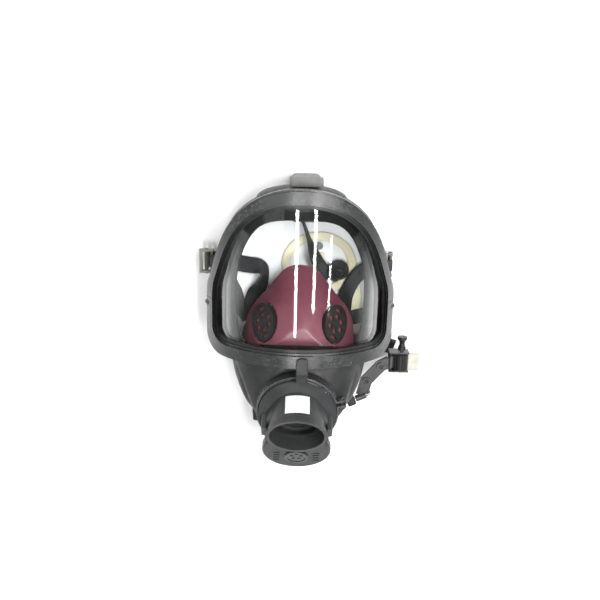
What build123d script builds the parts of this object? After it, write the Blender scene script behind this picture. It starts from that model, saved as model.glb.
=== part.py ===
"""Full face respirator lying on its back: harness on the floor, lens facing up (+Z), forehead towards +Y."""
import os
from math import cos, hypot, radians, sin

from build123d import *

os.makedirs("parts", exist_ok=True)

# ------------------------------------------------------------------ driving dimensions (mm)
STRAP_T = 2.2
FLOOR_GAP = 2.6             # height of the sealing rim above the floor, over the straps that lie below it
REACH = 130.0               # longer than any cut through the mask

LENS_AXIS_Z = 9.0           # the lens is a piece of a cylinder whose axis runs along Y at this height
LENS_R = 84.0
LENS_T = 2.5
LENS_EDGE = 4.0             # lens hidden in the frame groove, all round
LENS_TOP, LENS_SIDE, LENS_BOTTOM, LENS_CORNER = 83.7, 73.0, -34.5, 11.0
LENS_SHOULDER = [(23.7, 80.4), (53.5, 57.7), (69.8, 19.5)]
LENS_STRAIGHT_Y = -10.0     # below this the outline's sides run straight

FRAME_R = 89.5
FRAME_STEP_R = 87.4         # radius of the frame's lower shoulder
FRAME_STEP = 1.8
FRAME_BACK_R = 78.5
FRAME_BACK_Z = 38.0
FRAME_TOP, FRAME_SIDE, FRAME_BOTTOM, FRAME_CORNER = 95.8, 82.8, -47.5, 17.0
FRAME_SHOULDER = [(20.5, 93.2), (62.8, 58.6), (78.6, 16.7)]
FRAME_SPLIT_Y = -5.0
FRAME_JOINT_GAP = 0.4
GROOVE_GAP = 0.15
GASKET_LIP = 2.4
GASKET_T = 2.0

LAP_Y, LAP_Z = 5.0, 43.5     # the halves overlap this far each way beside the split, one above the other
FRAME_SCREW_X = 80.0
FRAME_SCREW_R, FRAME_SCREW_HEAD_R, FRAME_SCREW_HEAD_T = 1.25, 2.2, 1.8
FRAME_SCREW_SEAT_Z, FRAME_SCREW_TIP_Z = 46.0, 38.6
FRAME_SCREW_GAP, FRAME_SCREW_HEX_R, FRAME_SCREW_HEX_DEPTH = 0.15, 1.1, 1.0
SCREW_R, SCREW_HOLE_R = 1.5, 1.65       # the clamp band's screw
SCREW_HEAD_R, SCREW_HEAD_T, SCREW_SLOT_W, SCREW_SLOT_DEPTH = 2.7, 2.0, 0.8, 1.0
NUT_FLATS, NUT_T = 5.5, 2.4

BODY_WALL = 3.5
REAR_TOP, REAR_BOTTOM = 94.0, -97.0
REAR_OUTLINE = [(45.0, 83.0), (71.0, 48.0), (79.0, 5.0), (75.0, -32.0), (57.0, -67.0), (30.0, -91.0)]
APERTURE_TOP, APERTURE_BOTTOM = 64.0, -84.0
APERTURE_OUTLINE = [(38.0, 56.0), (55.0, 28.0), (59.5, -10.0), (57.0, -42.0), (40.0, -70.0), (20.0, -81.5)]
SEAL_T = 4.0
JAW_Z = 45.0
JAW_TOP, JAW_BOTTOM = 18.0, -119.0
JAW_OUTLINE = [(46.0, 0.0), (58.0, -48.0), (46.5, -90.0), (25.0, -113.0)]
CHIN_TOP, CHIN_BOTTOM = -4.0, -96.0
CHIN_OUTLINE = [(52.0, -12.0), (64.0, -40.0), (54.0, -69.0), (29.0, -90.0)]
HEAD_A, HEAD_B = 84.0, 70.0             # the forehead that the sealing rim follows: a tilted oval cylinder
HEAD_TILT = 30.0
HEAD_CREST = (0.0, 94.0, 42.0)
SEAL_REACH = 52.0
BULGE_X = -0.5               # rubber bulge that shows above the frame's top
# height, half width, y, half depth
BULGE = [(42.0, 34.0, 86.0, 9.0), (60.0, 37.0, 85.5, 12.0), (76.0, 31.0, 85.0, 9.5)]

PORT_TILT = 35.0            # the breathing port points this far below straight ahead
RING_TILT = 10.0            # and the housing's flange this far
PORT_MOUTH = (0.0, -106.5, 98.2)
RING_CENTRE = (0.0, -91.5, 83.2)
HOLDER_CENTRE = (0.0, -77.0, 60.0)

CUP_T = 2.2
CUP_SECTIONS = [            # height, top, right side, bottom
    (33.0, 27.0, [(27.0, 7.5), (44.0, -14.0), (49.0, -42.0), (34.0, -84.0)], -95.0),
    (54.0, 10.0, [(24.0, -5.0), (41.0, -27.0), (44.0, -52.0), (31.0, -88.0)], -101.0),
    (68.0, -6.0, [(17.0, -15.0), (33.0, -35.0), (36.0, -58.0), (27.0, -92.0)], -105.0),
    (77.0, -20.0, [(11.0, -26.0), (26.0, -42.0), (29.0, -60.0), (22.0, -90.0)], -104.0),
]
CUP_CUT_Y = -37.0            # below this the cup's front is flat, under the holder plate
HOLDER_GAP = 0.2
LIP_HALF, LIP_BACK, LIP_FRONT, LIP_RIM = 28.5, -40.0, -37.2, -33.5
LIP_STEP, LIP_HIGH, LIP_RAMP = 77.3, 79.2, 12.0
CHECK_PIN_R, CHECK_PIN_L = 1.2, 4.8
SKIRT_T, SKIRT_LOW, SKIRT_H = 1.4, -4.0, 5.5
GRID_LOW, GRID_T, FLAP_LOW, FLAP_T, FLAP_GAP = -0.6, 1.6, -1.9, 1.0, 0.7
GRID_HOLES_AT, GRID_HOLE_R, GRID_END_AT = 6.6, 2.3, 12.0
GRID_END_A, GRID_END_B = 3.2, 1.6
RUNNING_GAP = 0.06
HOLDER_A, HOLDER_B, HOLDER_T = 33.5, 38.0, 3.0
SPIGOT_R, SPIGOT_L = 25.2, 11.4
VALVE_A, VALVE_B, VALVE_HOLE_REACH = 12.0, 17.0, 9.0
VALVE_AT = (30.5, -19.0, 61.5)
VALVE_FACING = (0.62, 0.32, 0.72)

PORT_OUTER_R, PORT_BORE_R, PORT_LEDGE_R = 25.0, 23.0, 21.4
PORT_BORE_DEPTH, PORT_LEDGE_DEPTH, PORT_ROOT_DEPTH = 13.0, 24.0, 30.0
PORT_SEAL_R, PORT_SEAL_T = 22.6, 1.4
HOUSING_A, HOUSING_B = 31.4, 31.0       # semi-axes of the housing flange
HOUSING_BACK = 14.0
COLLAR_GAP, COLLAR_T = 0.1, 2.2
COLLAR_BACK, COLLAR_FRONT = 12.0, 0.0
COLLAR_ROOT, COLLAR_OPENING = 2.0, 8.0   # how far the collar and its hole go on behind COLLAR_BACK
BAND_T, BAND_LOW, BAND_HIGH = 1.2, -7.5, -0.5
BAND_EAR_ANGLE = 14.0
EAR_OUT, EAR_L, EAR_T, EAR_SPLIT, EAR_HOLE_X = 3.6, 7.0, 1.8, 3.2, 0.8
BEZEL_GROW, BEZEL_LOW, BEZEL_HIGH = 1.4, 0.2, 3.0
SHROUD_R, SHROUD_DROP = 29.5, -7.0
EXHALE_DROP, EXHALE_SINK = -42.0, -4.0  # the exhalation valve below the port's axis and behind its mouth
LIP_GROW = 0.9              # raised lip round the port's mouth
BULB_A, BULB_B, BULB_BACK, BULB_FRONT = 28.5, 29.0, -17.0, -3.0
BULB_RISE = 9.0             # the bulb's outline is centred this far above the valve
COVER_T, COVER_BACK, COVER_ROUND = 1.3, -6.5, 2.0
COVER_TOP = 18.0            # the cover's two arms end this far below the port's axis
EXHALE_SEAT_R, EXHALE_BORE_R, EXHALE_DISC_R = 11.5, 8.0, 10.2
EXHALE_FLOOR = BULB_FRONT - 9.0
DISC_TOP = EXHALE_FLOOR + 3.2
SPRING_WIRE, SPRING_R, SPRING_TURNS, SPRING_END_GAP = 0.35, 5.0, 3.0, 0.1
COVER_GAP, COVER_FACE_T = 0.2, 2.2
BADGE_R = 10.5
INHALE_OPENING_R, INHALE_DISC_R = 17.5, 19.6
TONGUE_X, TONGUE_W, TONGUE_ROUND = 3.0, 9.5, 3.0
TONGUE_OUTLINE = [(-37.5, 99.0), (-37.5, 101.0), (-51.0, 101.6), (-59.5, 96.2), (-61.0, 93.2), (-52.0, 98.9)]
LABEL_W, LABEL_LOW, LABEL_HIGH, LABEL_T = 20.0, -24.5, -8.5, 0.25

RING_PLATE_AT = (16.7, 22.0)
RING_PLATE_A, RING_PLATE_B, RING_BAND, RING_TAB_R = 34.5, 29.5, 8.0, 5.5
RIVET_HOLE_R = 1.8
FOREHEAD_STRAP_X, FOREHEAD_STRAP_W = 3.0, 24.0
FOREHEAD_STRAP_ROUTE = [(96.3, 76.0), (103.0, 76.0), (103.0, 1.1), (60.0, 1.1)]      # in the YZ plane
FOREHEAD_TAIL_ROUTE = [(1.0, 66.0), (4.0, 58.0), (8.0, 53.5)]
FOREHEAD_TAIL_H = 15.0
ROLL_AT = (36.0, 15.0)
ROLL_R, ROLL_H = 9.0, 14.0

# cheek clips: the right one stands out beside the jaw, the left one is folded back under the chin
CLIP_RIGHT_AT = (58.6, -97.5, 31.0)
CLIP_LEFT_AT = (-30.0, -108.5, 16.0)
CLIP_LEFT_TURN = -152.0     # the folded clip is turned this far about +Z
CLIP_PIN_ANGLE = 24.0
CLIP_PIN_R, CLIP_PIN_INNER, CLIP_PIN_OUTER = 1.4, -14.2, 9.0
CLIP_PIN_HEAD_R, CLIP_PIN_HEAD_T = 2.4, 1.2
CLIP_LUG_L, CLIP_LUG_W, CLIP_LUG_T, CLIP_LUG_BACK = 24.0, 8.0, 8.0, 4.0
CLIP_ROUTE = [(0.8, 2.0), (4.4, 16.5), (16.9, 31.0), (25.0, 35.5)]
CLIP_W, CLIP_T = 11.0, 2.4
CLIP_KNUCKLE_R, CLIP_KNUCKLE_L = 3.0, 10.0
STUD_R, STUD_T = 3.7, 1.8
BUCKLE_PIVOT_X, BUCKLE_Y = 26.0, 35.5
BUCKLE_HEEL = 1.8            # the frame starts this far behind its hinge
BUCKLE_PIN_R, BUCKLE_KNUCKLE_R = 1.2, 2.6
BUCKLE_ARM_Y, BUCKLE_ARM_T, BUCKLE_END_X = 8.0, 1.6, 42.0
BUCKLE_TOP, BUCKLE_FLOOR, BUCKLE_FLOOR_T = 3.0, -8.8, 1.4
ROLLER_X, ROLLER_R, ROLLER_L, ROLLER_RIBS = 35.2, 6.0, 15.0, 12
AXLE_R = 1.5
STRAP_END_X, STRAP_END_L, STRAP_END_W = 41.5, 10.0, 16.0

TEMPLE_PIN = (80.4, 25.0, 18.0)
TEMPLE_FOLD = {"left": 0.0, "right": 84.0}      # degrees that each buckle is turned down from lying flat
TEMPLE_PIN_R = 1.3
TEMPLE_LUG = (7.0, 10.0, 5.0)           # length, width, thickness
TEMPLE_LUG_NOSE = 2.0        # lug beyond the pin's axis
TEMPLE_ARM_Y, TEMPLE_ARM_T, TEMPLE_FRAME_T = 8.5, 2.3, 4.0
TEMPLE_REACH, TEMPLE_BAR_W, TEMPLE_HEEL = 11.0, 2.4, 1.7
TEMPLE_SLOT_X, TEMPLE_SLIDE, TEMPLE_BAR_R, TEMPLE_BAR_PROUD = 5.7, 2.0, 1.25, 0.8

# ------------------------------------------------------------------ planes
def tilted(origin, degrees):
    """A plane that faces `degrees` below straight ahead (+Z), with its local Y towards the forehead."""
    return Plane(origin=origin, x_dir=(1, 0, 0), z_dir=(0, -sin(radians(degrees)), cos(radians(degrees))))


PORT = tilted(PORT_MOUTH, PORT_TILT)
RING = tilted(RING_CENTRE, RING_TILT)
HOLDER = tilted(HOLDER_CENTRE, RING_TILT)


def height_on(plane, y):
    """Height of a tilted plane over the line x = 0 at `y`."""
    return plane.origin.Z - (y - plane.origin.Y) * plane.z_dir.Y / plane.z_dir.Z


def finish(piece, name):
    piece.label = name
    export_step(piece, f"parts/{name}.step")


# ------------------------------------------------------------------ shared outlines
def spread(points, grow, centre=(0.0, 5.0)):
    """The outline points, each moved away from the centre by `grow`."""
    moved = []
    for x, y in points:
        away = hypot(x - centre[0], y - centre[1])
        moved.append((x + grow * (x - centre[0]) / away, y + grow * (y - centre[1]) / away))
    return moved


def visor_face(top, shoulder, side, bottom, corner):
    """Arched window outline, flat at the bottom with rounded corners."""
    with BuildSketch() as sketch:
        with BuildLine():
            arch = Spline((0, top), *shoulder, (side, LENS_STRAIGHT_Y), tangents=[(1, 0), (0, -1)])
            Polyline(arch @ 1, (side, bottom), (0, bottom))
            mirror(about=Plane.YZ)
        make_face()
        fillet(sketch.vertices().group_by(Axis.Y)[0].filter_by(lambda v: abs(v.X) > 1), corner)
    return sketch.sketch


def lens_face(grow=0.0):
    shoulder = spread(LENS_SHOULDER, grow)
    return visor_face(LENS_TOP + grow, shoulder, LENS_SIDE + grow, LENS_BOTTOM - grow, LENS_CORNER + grow)


def frame_face(grow=0.0):
    shoulder = spread(FRAME_SHOULDER, grow)
    return visor_face(FRAME_TOP + grow, shoulder, FRAME_SIDE + grow, FRAME_BOTTOM - grow, FRAME_CORNER + grow)


def egg_face(top, right_points, bottom, grow=0.0, centre=(0.0, 5.0)):
    """Smooth closed outline, symmetric about the YZ plane."""
    with BuildSketch() as sketch:
        with BuildLine():
            points = spread(right_points, grow, centre)
            Spline((0, top + grow), *points, (0, bottom - grow), tangents=[(1, 0), (-1, 0)])
            mirror(about=Plane.YZ)
        make_face()
    return sketch.sketch


def oval_face(a, b, hole_a=0.0, hole_b=0.0):
    with BuildSketch() as sketch:
        Ellipse(a, b)
        if hole_a:
            Ellipse(hole_a, hole_b, mode=Mode.SUBTRACT)
    return sketch.sketch


def slab(plane, face, low, high):
    """`face`, drawn on `plane`, made solid between two offsets along the plane's normal."""
    with BuildPart() as piece:
        with BuildSketch(plane.offset(low)):
            add(face)
        extrude(amount=high - low)
    return piece.part


def curved_shell(outline, hole, outer_r, inner_r, base_z=FRAME_BACK_Z):
    """The part of a cylindrical shell that lies over `outline`, less `hole`, from base_z up."""
    with BuildPart() as shell:
        with BuildSketch(Plane.XY.offset(base_z)):
            add(outline)
            if hole is not None:
                add(hole, mode=Mode.SUBTRACT)
        extrude(amount=REACH)
        with BuildSketch(Plane.XZ):
            with Locations((0, LENS_AXIS_Z)):
                Circle(outer_r)
                if inner_r:
                    Circle(inner_r, mode=Mode.SUBTRACT)
        extrude(amount=REACH, both=True, mode=Mode.INTERSECT)
    return shell.part


# ------------------------------------------------------------------ lens, gasket and the two frame halves
with BuildPart() as visor_lens:
    add(curved_shell(lens_face(LENS_EDGE), None, LENS_R, LENS_R - LENS_T))
finish(visor_lens.part, "visor_lens")

with BuildPart() as lens_gasket:
    add(curved_shell(lens_face(), lens_face(-GASKET_LIP), LENS_R + GASKET_T, LENS_R))
finish(lens_gasket.part, "lens_gasket")

groove = curved_shell(
    lens_face(LENS_EDGE + GROOVE_GAP), None, LENS_R + GROOVE_GAP, LENS_R - LENS_T - GROOVE_GAP
)
with BuildPart() as whole_frame:
    add(curved_shell(frame_face(), lens_face(), FRAME_STEP_R, FRAME_BACK_R))
    add(curved_shell(frame_face(-FRAME_STEP), lens_face(FRAME_STEP), FRAME_R, FRAME_BACK_R))
    add(groove, mode=Mode.SUBTRACT)


def frame_cutter(shift):
    """Everything on the forehead side of the stepped split, moved by half the joint gap."""
    with BuildPart() as cutter:
        with BuildSketch(Plane.YZ.offset(-REACH)):
            with BuildLine():
                Polyline(
                    (FRAME_SPLIT_Y + LAP_Y + shift, REACH), (FRAME_SPLIT_Y + LAP_Y + shift, LAP_Z - shift),
                    (FRAME_SPLIT_Y - LAP_Y + shift, LAP_Z - shift), (FRAME_SPLIT_Y - LAP_Y + shift, -1),
                    (REACH, -1), (REACH, REACH), close=True,
                )
            make_face()
        extrude(amount=2 * REACH)
    return cutter.part


def frame_screw_round(radius, low, high):
    """A round bar at each side of the frame, straight ahead through the lap."""
    with BuildPart() as bars:
        with BuildSketch(Plane.XY.offset(low)):
            with Locations((FRAME_SCREW_X, FRAME_SPLIT_Y), (-FRAME_SCREW_X, FRAME_SPLIT_Y)):
                Circle(radius)
        extrude(amount=high - low)
    return bars.part


with BuildPart() as upper_frame:
    add(whole_frame.part)
    add(frame_cutter(FRAME_JOINT_GAP / 2), mode=Mode.INTERSECT)
    add(frame_screw_round(FRAME_SCREW_R, 0, REACH), mode=Mode.SUBTRACT)
finish(upper_frame.part, "upper_lens_frame")
with BuildPart() as lower_frame:
    add(whole_frame.part)
    add(frame_cutter(-FRAME_JOINT_GAP / 2), mode=Mode.SUBTRACT)
    add(frame_screw_round(FRAME_SCREW_R + FRAME_SCREW_GAP, 0, REACH), mode=Mode.SUBTRACT)
    add(frame_screw_round(FRAME_SCREW_HEAD_R + FRAME_SCREW_GAP, FRAME_SCREW_SEAT_Z, REACH), mode=Mode.SUBTRACT)
finish(lower_frame.part, "lower_lens_frame")

with BuildPart() as frame_screws:
    add(frame_screw_round(FRAME_SCREW_R, FRAME_SCREW_TIP_Z, FRAME_SCREW_SEAT_Z))
    add(frame_screw_round(FRAME_SCREW_HEAD_R, FRAME_SCREW_SEAT_Z, FRAME_SCREW_SEAT_Z + FRAME_SCREW_HEAD_T))
    with BuildSketch(Plane.XY.offset(FRAME_SCREW_SEAT_Z + FRAME_SCREW_HEAD_T)):
        with Locations((FRAME_SCREW_X, FRAME_SPLIT_Y), (-FRAME_SCREW_X, FRAME_SPLIT_Y)):
            RegularPolygon(FRAME_SCREW_HEX_R, 6)
    extrude(amount=-FRAME_SCREW_HEX_DEPTH, mode=Mode.SUBTRACT)
finish(frame_screws.part, "frame_screws")

# ------------------------------------------------------------------ rubber facepiece
def facepiece_shape(grow, floor_z):
    """The facepiece's full outer shape, or with a negative `grow` the hollow inside it."""
    with BuildPart() as shape:
        with BuildSketch(Plane.XY.offset(floor_z)):
            add(egg_face(REAR_TOP, REAR_OUTLINE, REAR_BOTTOM, grow))
        with BuildSketch(Plane.XY.offset(FRAME_BACK_Z)):
            add(frame_face(grow - 1.0))
        loft()
        add(curved_shell(frame_face(grow - 1.0), None, FRAME_BACK_R + grow, 0))
    with BuildPart() as chin:
        with BuildSketch(Plane.XY.offset(floor_z)):
            add(egg_face(CHIN_TOP, CHIN_OUTLINE, CHIN_BOTTOM, grow, (0, -50)))
        with BuildSketch(Plane.XY.offset(JAW_Z)):
            add(egg_face(JAW_TOP, JAW_OUTLINE, JAW_BOTTOM, grow, (0, -60)))
        with BuildSketch(RING.offset(-COLLAR_BACK)):
            Ellipse(HOUSING_A + COLLAR_GAP + COLLAR_T + grow + 1, HOUSING_B + COLLAR_GAP + COLLAR_T + grow + 1)
        loft()
    return shape.part, chin.part


def forehead(grow):
    """The head behind the mask: the sealing rim follows its surface."""
    slope = Plane(
        origin=HEAD_CREST, x_dir=(1, 0, 0), z_dir=(0, -cos(radians(HEAD_TILT)), -sin(radians(HEAD_TILT)))
    )
    with BuildPart() as head:
        with BuildSketch(slope.offset(-REACH)):
            with Locations((0, -HEAD_B)):
                Ellipse(HEAD_A + grow, HEAD_B + grow)
        extrude(amount=2 * REACH + REACH)
    return head.part


outer_bowl, outer_chin = facepiece_shape(0.0, FLOOR_GAP)
inner_bowl, inner_chin = facepiece_shape(-BODY_WALL, FLOOR_GAP + SEAL_T)
with BuildPart() as hollow:
    add(inner_bowl)
    add(inner_chin)
    add(forehead(SEAL_T), mode=Mode.SUBTRACT)
with BuildPart() as bulge:
    for height, half_width, bulge_y, half_depth in BULGE:
        with BuildSketch(Plane.XY.offset(height)):
            with Locations((BULGE_X, bulge_y)):
                Ellipse(half_width, half_depth)
    loft()
    add(whole_frame.part, mode=Mode.SUBTRACT)
collar_inside = oval_face(HOUSING_A + COLLAR_GAP, HOUSING_B + COLLAR_GAP)
collar_outside = oval_face(HOUSING_A + COLLAR_GAP + COLLAR_T, HOUSING_B + COLLAR_GAP + COLLAR_T)
aperture = egg_face(APERTURE_TOP, APERTURE_OUTLINE, APERTURE_BOTTOM)
with BuildPart() as facepiece_body:
    add(outer_bowl)
    add(outer_chin)
    add(bulge.part)
    add(slab(RING, collar_outside, -COLLAR_BACK - COLLAR_ROOT, COLLAR_FRONT))
    add(hollow.part, mode=Mode.SUBTRACT)
    add(forehead(0.0), mode=Mode.SUBTRACT)
    add(slab(RING, collar_inside, -COLLAR_BACK - COLLAR_OPENING, COLLAR_FRONT + 1), mode=Mode.SUBTRACT)
    add(slab(Plane.XY, lens_face(), FRAME_BACK_Z - SEAL_T, REACH), mode=Mode.SUBTRACT)
    add(slab(Plane.XY, aperture, 0, SEAL_REACH), mode=Mode.SUBTRACT)
finish(facepiece_body.part, "facepiece_body")

# ------------------------------------------------------------------ nose cup with its two check valves
def nose_cup_shape(grow):
    """Loft through the cup's sections, rim first, with the room for the holder plate taken out."""
    with BuildPart() as shape:
        for z, top, points, bottom in CUP_SECTIONS:
            drop = grow if z == CUP_SECTIONS[-1][0] else 0
            with BuildSketch(Plane.XY.offset(z + drop)):
                add(egg_face(top, points, bottom, grow, (0, (top + bottom) / 2)))
        loft()
        under_holder = HOLDER.offset(grow - HOLDER_GAP)
        low_y = CUP_CUT_Y - grow
        far_y = low_y - REACH
        with BuildSketch(Plane.YZ.offset(-REACH)):
            with BuildLine():
                Polyline(
                    (low_y, height_on(under_holder, low_y)), (low_y, 2 * REACH),
                    (far_y, 2 * REACH), (far_y, height_on(under_holder, far_y)), close=True,
                )
            make_face()
        extrude(amount=2 * REACH, mode=Mode.SUBTRACT)
    return shape.part


valve_planes = []
for side in (-1, 1):
    valve_planes.append(
        Plane(origin=(side * VALVE_AT[0], VALVE_AT[1], VALVE_AT[2]), x_dir=(side * -0.8, 0.42, 0.42),
              z_dir=(side * VALVE_FACING[0], VALVE_FACING[1], VALVE_FACING[2]))
    )

with BuildPart() as nose_cup:
    add(nose_cup_shape(0.0))
    add(nose_cup_shape(-CUP_T), mode=Mode.SUBTRACT)
    add(slab(RING, oval_face(SPIGOT_R, SPIGOT_R - 0.05), -40, 0), mode=Mode.SUBTRACT)
    for plane in valve_planes:
        valve_hole = oval_face(VALVE_A + HOLDER_GAP, VALVE_B + HOLDER_GAP)
        add(slab(plane, valve_hole, -VALVE_HOLE_REACH, VALVE_HOLE_REACH), mode=Mode.SUBTRACT)
finish(nose_cup.part, "nose_cup")

for side, plane in zip(("left", "right"), valve_planes):
    with BuildPart() as check_valve_seat:
        with BuildSketch(plane.offset(SKIRT_LOW)):
            Ellipse(VALVE_A, VALVE_B)
            Ellipse(VALVE_A - SKIRT_T, VALVE_B - SKIRT_T, mode=Mode.SUBTRACT)
        extrude(amount=SKIRT_H)
        with BuildSketch(plane.offset(GRID_LOW)):
            Ellipse(VALVE_A - SKIRT_T / 2, VALVE_B - SKIRT_T / 2)
            with PolarLocations(GRID_HOLES_AT, 6, start_angle=30):
                Circle(GRID_HOLE_R, mode=Mode.SUBTRACT)
            with Locations((0, GRID_END_AT), (0, -GRID_END_AT)):
                Ellipse(GRID_END_A, GRID_END_B, mode=Mode.SUBTRACT)
        extrude(amount=GRID_T)
        with BuildSketch(plane.offset(GRID_LOW - CHECK_PIN_L)):
            Circle(CHECK_PIN_R)
        extrude(amount=CHECK_PIN_L + GRID_T / 2)
    finish(check_valve_seat.part, f"{side}_check_valve_seat")
    with BuildPart() as check_valve_flap:
        with BuildSketch(plane.offset(FLAP_LOW)):
            Ellipse(VALVE_A - SKIRT_T - FLAP_GAP, VALVE_B - SKIRT_T - FLAP_GAP)
            Circle(CHECK_PIN_R + RUNNING_GAP, mode=Mode.SUBTRACT)
        extrude(amount=FLAP_T)
    finish(check_valve_flap.part, f"{side}_check_valve_flap")

# ------------------------------------------------------------------ plate that holds the nose cup to the housing
with BuildPart() as nose_cup_holder:
    with BuildSketch(HOLDER):
        Ellipse(HOLDER_A, HOLDER_B)
        with Locations((0, HOLDER.to_local_coords(Vector(*RING_CENTRE)).Y)):
            Circle(SPIGOT_R + 0.1, mode=Mode.SUBTRACT)
    extrude(amount=HOLDER_T)
    lip_low = height_on(HOLDER, LIP_FRONT)
    ramp_y = LIP_BACK - LIP_RAMP
    with BuildSketch(Plane.YZ.offset(-LIP_HALF)):
        with BuildLine():
            Polyline(
                (ramp_y, height_on(HOLDER, ramp_y)), (ramp_y, height_on(HOLDER.offset(HOLDER_T), ramp_y)),
                (LIP_BACK, height_on(HOLDER.offset(HOLDER_T), LIP_BACK)), (LIP_BACK, LIP_HIGH),
                (LIP_RIM, LIP_HIGH), (LIP_RIM, LIP_STEP), (LIP_FRONT, LIP_STEP), (LIP_FRONT, lip_low), close=True,
            )
        make_face()
    extrude(amount=2 * LIP_HALF)
    fillet(nose_cup_holder.edges().filter_by(Axis.Y).group_by(Axis.Z)[-1], 1.2)
finish(nose_cup_holder.part, "nose_cup_holder")

# ------------------------------------------------------------------ connector housing with the breathing port
with BuildPart() as shroud:
    with BuildSketch(PORT.offset(-34)):
        with Locations((0, SHROUD_DROP)):
            Circle(SHROUD_R)
    extrude(amount=34 - 8)
    fillet(shroud.edges().filter_by(GeomType.CIRCLE).sort_by(Axis.Z)[-1], 3)
    with BuildSketch(PORT.offset(-PORT_ROOT_DEPTH)):
        Circle(PORT_OUTER_R)
    extrude(amount=PORT_ROOT_DEPTH)
    split(bisect_by=RING.offset(BEZEL_LOW), keep=Keep.TOP)

EXHALE = Plane(
    origin=PORT.from_local_coords(Vector(0, EXHALE_DROP, EXHALE_SINK)), x_dir=PORT.x_dir, z_dir=PORT.z_dir
)
BAND_CLEAR = COLLAR_GAP + COLLAR_T + BAND_T + 0.8
keep_clear = oval_face(HOUSING_A + BAND_CLEAR, HOUSING_B + BAND_CLEAR)
with BuildPart() as bulb:
    with BuildSketch(EXHALE.offset(BULB_BACK)):
        with Locations((0, BULB_RISE)):
            Ellipse(BULB_A, BULB_B)
    extrude(amount=BULB_FRONT - BULB_BACK)
    add(slab(RING, keep_clear, -40, BEZEL_LOW), mode=Mode.SUBTRACT)
    add(outer_chin, mode=Mode.SUBTRACT)

with BuildPart() as inner_port:
    with BuildSketch(PORT.offset(-PORT_ROOT_DEPTH)):
        Circle(PORT_OUTER_R)
    extrude(amount=PORT_ROOT_DEPTH)
    add(slab(RING, oval_face(HOUSING_A - 1, HOUSING_B - 1), -40, 1), mode=Mode.INTERSECT)

with BuildPart() as connector_housing:
    add(slab(RING, oval_face(HOUSING_A, HOUSING_B), -HOUSING_BACK, BEZEL_LOW))
    add(slab(RING, oval_face(SPIGOT_R, SPIGOT_R - 0.05), -HOUSING_BACK - SPIGOT_L, -HOUSING_BACK))
    add(slab(RING, oval_face(HOUSING_A + BEZEL_GROW, HOUSING_B + BEZEL_GROW), BEZEL_LOW, BEZEL_HIGH))
    add(shroud.part)
    add(bulb.part)
    add(inner_port.part)
    with BuildSketch(PORT.offset(-3.2)):
        Circle(PORT_OUTER_R + LIP_GROW)
    extrude(amount=3.2)
    for side in (-1, 1):
        with BuildSketch(PORT.offset(-27)):
            with Locations((side * 27.2, 1)):
                RectangleRounded(4.6, 12, 1.5)
        extrude(amount=27 - 4)
    add(slab(RING, oval_face(HOUSING_A - 4, HOUSING_B - 4), -HOUSING_BACK + 2.5, -2.5), mode=Mode.SUBTRACT)
    add(slab(RING, oval_face(SPIGOT_R - 2, SPIGOT_R - 2.05), -HOUSING_BACK - SPIGOT_L - 1, -5), mode=Mode.SUBTRACT)
    with BuildSketch(PORT.offset(-PORT_ROOT_DEPTH)):
        Circle(PORT_LEDGE_R)
    extrude(amount=PORT_ROOT_DEPTH + 1, mode=Mode.SUBTRACT)
    with BuildSketch(PORT.offset(-PORT_BORE_DEPTH)):
        Circle(PORT_BORE_R)
    extrude(amount=PORT_BORE_DEPTH + 20, mode=Mode.SUBTRACT)
    with BuildSketch(PORT.offset(-PORT_BORE_DEPTH - PORT_SEAL_T)):
        Circle(PORT_SEAL_R)
    extrude(amount=PORT_SEAL_T, mode=Mode.SUBTRACT)
    with BuildSketch(EXHALE.offset(EXHALE_FLOOR)):
        Circle(EXHALE_SEAT_R)
    extrude(amount=20, mode=Mode.SUBTRACT)
finish(connector_housing.part, "connector_housing")

with BuildPart() as port_seal_ring:
    with BuildSketch(PORT.offset(-PORT_BORE_DEPTH - PORT_SEAL_T)):
        Circle(PORT_SEAL_R)
        Circle(PORT_LEDGE_R + 0.1, mode=Mode.SUBTRACT)
    extrude(amount=PORT_SEAL_T)
finish(port_seal_ring.part, "port_seal_ring")

with BuildPart() as inhalation_valve_seat:
    with BuildSketch(PORT.offset(-PORT_LEDGE_DEPTH)):
        Circle(PORT_LEDGE_R)
        Circle(INHALE_OPENING_R, mode=Mode.SUBTRACT)
    extrude(amount=2.0)
    with BuildSketch(PORT.offset(-PORT_LEDGE_DEPTH)):
        with PolarLocations(0, 3):
            Rectangle(2 * INHALE_OPENING_R + 1, 1.8)
        Circle(3.4)
    extrude(amount=2.0)
    with BuildSketch(PORT.offset(-PORT_LEDGE_DEPTH - 4.5)):
        Circle(CHECK_PIN_R)
    extrude(amount=5.0)
finish(inhalation_valve_seat.part, "inhalation_valve_seat")

with BuildPart() as inhalation_valve_disc:
    with BuildSketch(PORT.offset(-PORT_LEDGE_DEPTH - 1.5)):
        Circle(INHALE_DISC_R)
        Circle(CHECK_PIN_R + RUNNING_GAP, mode=Mode.SUBTRACT)
    extrude(amount=1.2)
finish(inhalation_valve_disc.part, "inhalation_valve_disc")

# ------------------------------------------------------------------ exhalation valve below the port
with BuildPart() as exhalation_valve_seat:
    with BuildSketch(EXHALE.offset(EXHALE_FLOOR)):
        Circle(EXHALE_SEAT_R)
        Circle(EXHALE_BORE_R, mode=Mode.SUBTRACT)
    extrude(amount=1.8)
    with BuildSketch(EXHALE.offset(EXHALE_FLOOR)):
        Rectangle(2 * EXHALE_BORE_R + 1, 1.6)
        Rectangle(1.6, 2 * EXHALE_BORE_R + 1)
    extrude(amount=1.4)
finish(exhalation_valve_seat.part, "exhalation_valve_seat")

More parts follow.
